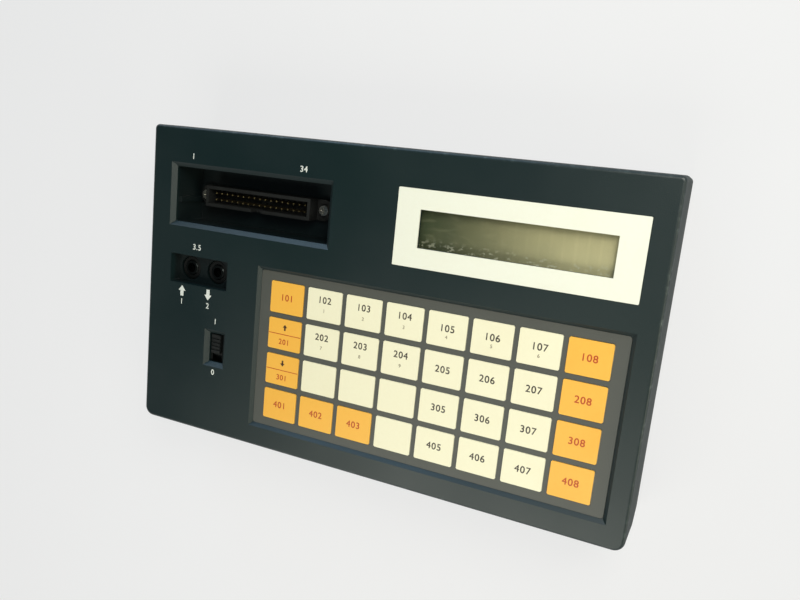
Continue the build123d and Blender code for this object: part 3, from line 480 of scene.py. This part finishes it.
round_lines = (1.0, 1.0, 14.0)
drawn_lines = (1.0, 12.0, 1.0)
FINE, MIDDLING, COARSE = 0.01 * MM, 0.02 * MM, 0.04 * MM  # depths of grain
smaller_parts = [
    moulded("foot_rubber", srgb(34, 34, 34), srgb(46, 45, 44), 0.8, 1600.0, COARSE, 41.0),
    moulded("elastomer_rubber", srgb(44, 44, 44), srgb(58, 56, 54), 0.75, 2000.0, MIDDLING, 43.0),
    moulded("chip_plastic", srgb(30, 30, 31), srgb(40, 40, 41), 0.55, 3200.0, MIDDLING, 45.0),
    moulded("connector_plastic", srgb(9, 11, 11), srgb(16, 19, 19), 0.62, 2400.0, MIDDLING, 47.0),
    moulded("socket_plastic", srgb(22, 24, 25), srgb(33, 35, 36), 0.5, 2400.0, MIDDLING, 49.0),
    moulded("jack_plastic", srgb(8, 10, 10), srgb(16, 18, 18), 0.45, 2400.0, FINE, 51.0),
    moulded("knob_plastic", srgb(10, 13, 13), srgb(18, 21, 21), 0.42, 2600.0, MIDDLING, 53.0),
    moulded("spacer_film", srgb(206, 208, 200), srgb(190, 192, 184), 0.4, 900.0, FINE, 55.0),
    moulded("ribbon_film", srgb(196, 150, 70), srgb(176, 128, 54), 0.3, 900.0, FINE, 57.0),
    drawn_metal("component_case", srgb(176, 178, 180), srgb(128, 126, 120), 0.28, round_lines, 59.0),
    drawn_metal("screw_steel", srgb(150, 152, 154), srgb(98, 96, 92), 0.3, round_lines, 61.0),
    drawn_metal("bright_screw", srgb(206, 204, 196), srgb(150, 144, 130), 0.22, round_lines, 63.0),
    drawn_metal("pin_metal", srgb(112, 100, 72), srgb(70, 62, 48), 0.38, round_lines, 65.0),
    drawn_metal("bushing_metal", srgb(52, 56, 56), srgb(28, 30, 31), 0.3, round_lines, 67.0),
    drawn_metal("switch_metal", srgb(44, 47, 47), srgb(28, 29, 29), 0.42, drawn_lines, 69.0),
    drawn_metal("lcd_frame_metal", srgb(66, 70, 66), srgb(46, 50, 46), 0.4, drawn_lines, 71.0),
    drawn_metal("dome_metal", srgb(190, 190, 186), srgb(150, 146, 138), 0.25, drawn_lines, 73.0),
    circuit_board("main_board", srgb(28, 82, 50), srgb(66, 128, 70), 75.0),
    circuit_board("display_board", srgb(30, 80, 52), srgb(66, 124, 72), 77.0),
    circuit_board("keypad_board", srgb(30, 76, 48), srgb(70, 124, 70), 79.0),
]
for part in smaller_parts:
    slot = part.name.split(".")[0]  # a name that the solids use already gets .001 behind it
    materials[slot] = part
print("finishes so far:", len(materials))

# %% [markdown]
# The display is a reflective glass cell behind a clear pane.
#
# Its rear film mirrors light softly, and over that it is painted with light: olive at the left end, khaki at
# the right, a painted sheen where a lamp would shine in. A faint grid of unlit character cells shows on it, and
# pale crumbs of dirt lie along its lower sill. The pane in front is nearly invisible: it only adds a thin
# gloss.


# %% Display glass and pane
def display_cell():
    cell = Finish("lcd_glass")
    low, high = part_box("display_window")
    cells_across = 18
    pitch_x = (high[0] - low[0]) / cells_across
    in_cell_x = ((cell.axis("X") - low[0]) % pitch_x) / pitch_x
    blocks = abs(in_cell_x - 0.5).ramp(0.42, 0.38)
    smudge = cell.cloud(150.0, 4.0, seed=81.0).ramp(0.4, 0.8)
    # Painted light: the colour runs from olive at the left end to khaki at the right, a painted sheen.
    painted_sheen_across = cell.axis("X").ramp(low[0], high[0])
    colour = cell.blend(painted_sheen_across, srgb(54, 68, 44), srgb(224, 216, 168))
    colour = cell.blend(smudge * 0.08, colour, srgb(176, 168, 122))
    wiped = cell.cloud(130.0, 4.0, (1.0, 4.0, 1.0), 84.0).ramp(0.48, 0.75)
    colour = cell.blend(wiped * 0.12, colour, srgb(206, 202, 160))
    above_sill = cell.axis("Y") - (low[1] + 2.2 * MM)
    crumbs = cell.cloud(620.0, 4.0, (1.0, 1.4, 1.0), 86.0).ramp(0.52, 0.64)
    crumbs = crumbs * above_sill.ramp(4.2 * MM, 0.6 * MM)
    colour = cell.blend(crumbs * 0.7, colour, srgb(238, 238, 208))
    colour = cell.blend(blocks * 0.05, colour, srgb(110, 112, 78))
    return cell.wear(
        Base_Color=colour,
        Metallic=0.35,
        Specular_IOR_Level=0.2,
        Roughness=0.42 + smudge * 0.08 + crumbs * 0.1,
        Normal=cell.relief(cell.cloud(1800.0, 2.0, seed=83.0), 0.01 * MM, 0.3),
    )


def clear_pane():
    pane = Finish("clear_pane")
    haze = pane.cloud(90.0, 4.0, seed=85.0).ramp(0.45, 0.8)
    return pane.wear(
        Base_Color=srgb(112, 116, 98),
        Roughness=0.10 + haze * 0.25,
        Specular_IOR_Level=0.3,
        Alpha=0.06 + haze * 0.05,
        Normal=pane.relief(pane.cloud(60.0, 2.0, seed=87.0), 0.01 * MM, 0.2),
    )


materials["lcd_glass"] = display_cell()
materials["clear_pane"] = clear_pane()
print("display finishes ready")

# %% [markdown]
# Each solid gets the finish of its own material slot.

# %% Dress the solids
for part in frame["record"]["subparts"]:
    node = frame["nodes"][part["node"]]
    node.data.materials.clear()
    node.data.materials.append(materials[part["material_slot"]])

# %% [markdown]
# The figures on the pads and the case are screen-printed.
#
# Each figure could be typed into a text object, converted and thickened by hand, which is slow for forty of
# them. A Geometry Nodes tree does the same from named inputs: it turns a word into outlines, fills them, and
# gives the ink its hair of thickness, closed at the back. Every point of the outlines is first moved a little
# along its normal, which makes the strokes bolder, and points that end up too close together are merged, so
# that no outline crosses itself. The tree is run once for each word.


# %% A tree with named inputs
class Recipe:
    """A Geometry Nodes tree that makes a mesh from named inputs."""

    def __init__(self, name, inputs):
        self.group = bpy.data.node_groups.new(name, "GeometryNodeTree")
        self.group.interface.new_socket("Geometry", in_out="INPUT", socket_type="NodeSocketGeometry")
        for label, kind in inputs.items():
            self.group.interface.new_socket(label, in_out="INPUT", socket_type="NodeSocket" + kind)
        self.group.interface.new_socket("Geometry", in_out="OUTPUT", socket_type="NodeSocketGeometry")
        self.inputs = self.group.nodes.new("NodeGroupInput").outputs

    def node(self, kind, settings=None, sockets=None, output=0):
        made = self.group.nodes.new(kind)
        for key, value in (settings or {}).items():
            setattr(made, key, value)
        for key, value in (sockets or {}).items():
            for item in value if isinstance(value, list) else [value]:
                if isinstance(item, bpy.types.NodeSocket):
                    self.group.links.new(item, made.inputs[key])
                else:
                    made.inputs[key].default_value = item
        return made.outputs[output]

    def end_with(self, geometry):
        real = self.node("GeometryNodeRealizeInstances", {}, {"Geometry": geometry})
        sockets = {"Geometry": real, "Material": self.inputs["Material"]}
        inked = self.node("GeometryNodeSetMaterial", {}, sockets)
        self.group.links.new(inked, self.group.nodes.new("NodeGroupOutput").inputs["Geometry"])

    def make(self, **values):
        """Run the tree with these inputs and give back a plain mesh."""
        holder = bpy.data.objects.new("holder", bpy.data.meshes.new("holder"))
        bpy.context.scene.collection.objects.link(holder)
        modifier = holder.modifiers.new("recipe", "NODES")
        modifier.node_group = self.group
        for item in self.group.interface.items_tree:
            key = item.name.replace(" ", "_").lower()
            if item.in_out == "INPUT" and key in values:
                modifier[item.identifier] = values[key]
        evaluated = holder.evaluated_get(bpy.context.evaluated_depsgraph_get())
        mesh = bpy.data.meshes.new_from_object(evaluated)
        bpy.data.objects.remove(holder)
        return mesh


def thickened(recipe, flat):
    """Close a flat sheet of ink into a thin solid."""
    sockets = {"Mesh": flat, "Offset Scale": recipe.inputs["Ink Thickness"], "Individual": False}
    raised = recipe.node("GeometryNodeExtrudeMesh", {"mode": "FACES"}, sockets)
    back = recipe.node("GeometryNodeFlipFaces", {}, {"Mesh": flat})
    closed = recipe.node("GeometryNodeJoinGeometry", {}, {"Geometry": [raised, back]})
    return recipe.node("GeometryNodeMergeByDistance", {}, {"Geometry": closed, "Distance": 0.000001})


figures = Recipe(
    "printed_figures",
    {
        "Word": "String",
        "Height": "Float",
        "Spacing": "Float",
        "Stroke Gain": "Float",
        "Place": "Vector",
        "Ink Thickness": "Float",
        "Material": "Material",
    },
)
outlines = figures.node(
    "GeometryNodeStringToCurves",
    {"align_x": "CENTER", "align_y": "MIDDLE"},
    {
        "String": figures.inputs["Word"],
        "Size": figures.inputs["Height"],
        "Character Spacing": figures.inputs["Spacing"],
    },
)
outlines = figures.node("GeometryNodeRealizeInstances", {}, {"Geometry": outlines})
outlines = figures.node("GeometryNodeResampleCurve", {"mode": "EVALUATED"}, {"Curve": outlines})
outlines = figures.node("GeometryNodeSetCurveNormal", {"mode": "Z_UP"}, {"Curve": outlines})
outward = figures.node("GeometryNodeInputNormal")
sockets = {0: outward, "Scale": figures.inputs["Stroke Gain"]}
swelling = figures.node("ShaderNodeVectorMath", {"operation": "SCALE"}, sockets)
outlines = figures.node("GeometryNodeSetPosition", {}, {"Geometry": outlines, "Offset": swelling})
filled = figures.node("GeometryNodeFillCurve", {}, {"Curve": outlines})
merge_share = 1.12
sockets = {0: figures.inputs["Stroke Gain"], 1: merge_share}
close_by = figures.node("ShaderNodeMath", {"operation": "MULTIPLY"}, sockets)
filled = figures.node("GeometryNodeMergeByDistance", {}, {"Geometry": filled, "Distance": close_by})
sockets = {"Geometry": filled, "Translation": figures.inputs["Place"]}
placed = figures.node("GeometryNodeTransform", {}, sockets)
figures.end_with(thickened(figures, placed))
print("figures tree: nodes", len(figures.group.nodes))

# %% [markdown]
# The inks are a dark brown-grey on the pale pads, a burnt orange on the orange ones, and white on the case.
#
# Screen ink is never quite even. It is a little thin in places, so the pad shows through as a lighter patch.


# %% Inks
def screen_ink(name, full, thin, roughness, seed):
    ink = Finish(name)
    missed = ink.cloud(2600.0, 3.0, seed=seed).ramp(0.5, 0.72)
    return ink.wear(
        Base_Color=ink.blend(missed * 0.6, full, thin),
        Roughness=roughness + missed * 0.1,
        Normal=ink.relief(missed, 0.005 * MM, 0.4),
    )


dark_ink = screen_ink("dark_ink", srgb(58, 50, 44), srgb(92, 82, 68), 0.5, 101.0)
faint_ink = screen_ink("faint_ink", srgb(136, 126, 102), srgb(180, 172, 142), 0.5, 103.0)
rust_ink = screen_ink("rust_ink", srgb(190, 70, 24), srgb(214, 108, 40), 0.5, 105.0)
black_ink = screen_ink("black_ink", srgb(60, 30, 18), srgb(104, 56, 28), 0.5, 107.0)
white_ink = screen_ink("white_ink", srgb(236, 238, 232), srgb(180, 186, 180), 0.5, 109.0)
print("inks:", len([ink for ink in bpy.data.materials if ink.name.endswith("_ink")]))

# %% [markdown]
# The arrows and the rules across two of the pads are flat shapes of a few points.
#
# They could come from a tree as well, but an outline of seven points is shorter to write down than to grow from
# nodes. The outline is drawn twice, one ink thickness apart, and closed with a side for each of its edges.

# %% Flat shapes
ink_thickness = 0.025 * MM
ink_sink = 0.004 * MM


def printed_shape(points, height, material):
    """A thin solid with this outline, its underside at this height."""
    shape = bmesh.new()
    under = [shape.verts.new((x, y, height)) for x, y in points]
    over = [shape.verts.new((x, y, height + ink_thickness)) for x, y in points]
    shape.faces.new(under[::-1])
    shape.faces.new(over)
    for here in range(len(points)):
        there = (here + 1) % len(points)
        shape.faces.new((under[here], under[there], over[there], over[here]))
    bmesh.ops.recalc_face_normals(shape, faces=shape.faces)
    mesh = bpy.data.meshes.new("shape")
    shape.to_mesh(mesh)
    shape.free()
    mesh.materials.append(material)
    return mesh


def arrow_points(x, y, length, width, stem, turn):
    """An arrow with its middle at x, y that points up where turn is 1 and down where it is -1."""
    half, head = length / 2, length * 0.5
    points = [(-stem / 2, -half), (stem / 2, -half), (stem / 2, half - head), (width / 2, half - head)]
    points += [(0, half), (-width / 2, half - head), (-stem / 2, half - head)]
    return [(x + along, y + up * turn) for along, up in points]


def bar_points(x, y, width, height):
    left, right = x - width / 2, x + width / 2
    return [(left, y - height / 2), (right, y - height / 2), (right, y + height / 2), (left, y + height / 2)]


def print_on(name, body, meshes):
    """Join printed meshes into one piece that rides on a body."""
    joined = bmesh.new()
    inks = []
    for mesh in meshes:
        ink = mesh.materials[-1]
        if ink not in inks:
            inks.append(ink)
        first = len(joined.faces)
        joined.from_mesh(mesh)
        joined.faces.ensure_lookup_table()
        for face in joined.faces[first:]:
            face.material_index = inks.index(ink)
        bpy.data.meshes.remove(mesh)
    result = bpy.data.meshes.new(name)
    joined.to_mesh(result)
    joined.free()
    for ink in inks:
        result.materials.append(ink)
    piece = bpy.data.objects.new(name, result)
    bpy.context.scene.collection.objects.link(piece)
    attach(piece, body)
    return piece


letter_spacing = 1.12
stroke_gain_share = 0.016  # of the height of a figure


def figure(word, x, y, height, size, material):
    return figures.make(
        word=word,
        height=size,
        spacing=letter_spacing,
        stroke_gain=size * stroke_gain_share,
        place=(x, y, height),
        ink_thickness=ink_thickness,
        material=material,
    )


print("an arrow has", len(arrow_points(0, 0, 4 * MM, 3 * MM, MM, 1)), "points")

# %% [markdown]
# Each pad carries its own print, so the print goes down with the pad when it is pressed.
#
# Pads with two meanings have a large figure above a small faint one. The others have one figure in the middle,
# two have an arrow over a rule, and four are blank.

# %% Pad prints
main_size = 3.4 * MM
small_size = 1.7 * MM
rule_thickness = 0.28 * MM
rows, columns = 4, 8
last_column_with_raised_figures = 4
last_orange_column_in_last_row = 3
blank_pads = {(3, 2), (3, 3), (3, 4), (4, 4)}
orange_columns = {1, columns}
small_figures = {(1, 2): "1", (1, 3): "2", (1, 4): "3", (1, 5): "4", (1, 6): "5", (1, 7): "6"}
small_figures.update({(2, 2): "7", (2, 3): "8", (2, 4): "9"})
arrow_pads = {(2, 1): 1, (3, 1): -1}
printed_pads = 0
for row in range(1, rows + 1):
    for column in range(1, columns + 1):
        pad = f"key_row{row}_col{column}"
        if (row, column) in blank_pads:
            continue
        low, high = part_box(pad)
        x, y = (low[0] + high[0]) / 2, (low[1] + high[1]) / 2
        tall, wide, top = high[1] - low[1], high[0] - low[0], high[2] - ink_sink
        number = str(row * 100 + column)
        is_orange = column in orange_columns or (row == rows and column <= last_orange_column_in_last_row)
        ink = rust_ink if is_orange else dark_ink
        meshes = []
        if (row, column) in arrow_pads:
            turn = arrow_pads[(row, column)]
            arrow = arrow_points(x, y + tall * 0.23, 2.3 * MM, 1.9 * MM, 0.7 * MM, turn)
            meshes.append(printed_shape(arrow, top, black_ink))
            meshes.append(printed_shape(bar_points(x, y, wide * 0.98, rule_thickness), top, rust_ink))
            meshes.append(figure(number, x, y - tall * 0.25, top, main_size * 0.85, ink))
        elif (row, column) in small_figures:
            raised = column <= last_column_with_raised_figures
            lift, drop = (0.16, 0.17) if raised else (0.04, 0.21)
            small_figure = small_figures[(row, column)]
            meshes.append(figure(number, x, y + tall * lift, top, main_size, ink))
            meshes.append(figure(small_figure, x, y - tall * drop, top, small_size, faint_ink))
        else:
            meshes.append(figure(number, x, y, top, main_size, ink))
        print_on(f"{pad}_print", pad, meshes)
        printed_pads += 1
print("pads with print:", printed_pads)

# %% [markdown]
# White figures and arrows mark the sockets and the switch on the case.
#
# The two arrows under the cassette jacks show which way the sound goes. The figures number the jacks, the ends
# of the switch and the first and last pin of the memory pack connector.

# %% Case prints
face_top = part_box("front_cover")[1][2] - ink_sink
ear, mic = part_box("ear_jack"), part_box("mic_jack")
ear_x = (ear[0][0] + ear[1][0]) / 2
mic_x = (mic[0][0] + mic[1][0]) / 2
jack_y = (ear[0][1] + ear[1][1]) / 2
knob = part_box("lock_switch_body")
knob_x, knob_y = (knob[0][0] + knob[1][0]) / 2, (knob[0][1] + knob[1][1]) / 2
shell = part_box("pack_connector_shell")
pack_y = 48.2 * MM
white_size = 3.0 * MM


def white_figure(word, x, y):
    return figure(word, x, y, face_top, white_size, white_ink)


def white_arrow(x, y, turn):
    return printed_shape(arrow_points(x, y, 4.2 * MM, 3.4 * MM, 1.5 * MM, turn), face_top, white_ink)


white_prints = [
    white_arrow(ear_x, jack_y - 8.6 * MM, 1),
    white_arrow(mic_x, jack_y - 8.4 * MM, -1),
    white_figure("1", ear_x, jack_y - 13.0 * MM),
    white_figure("2", mic_x, jack_y - 12.8 * MM),
    white_figure("3.5", (ear_x + mic_x) / 2, jack_y + 9.2 * MM),
    white_figure("1", knob_x, knob_y + 10.8 * MM),
    white_figure("0", knob_x, knob_y - 9.6 * MM),
    white_figure("1", shell[0][0] + 7.4 * MM, pack_y),
    white_figure("34", shell[1][0] - 4.6 * MM, pack_y),
]
case_print = print_on("case_print", "case", white_prints)
print("case print: faces", len(case_print.data.polygons))
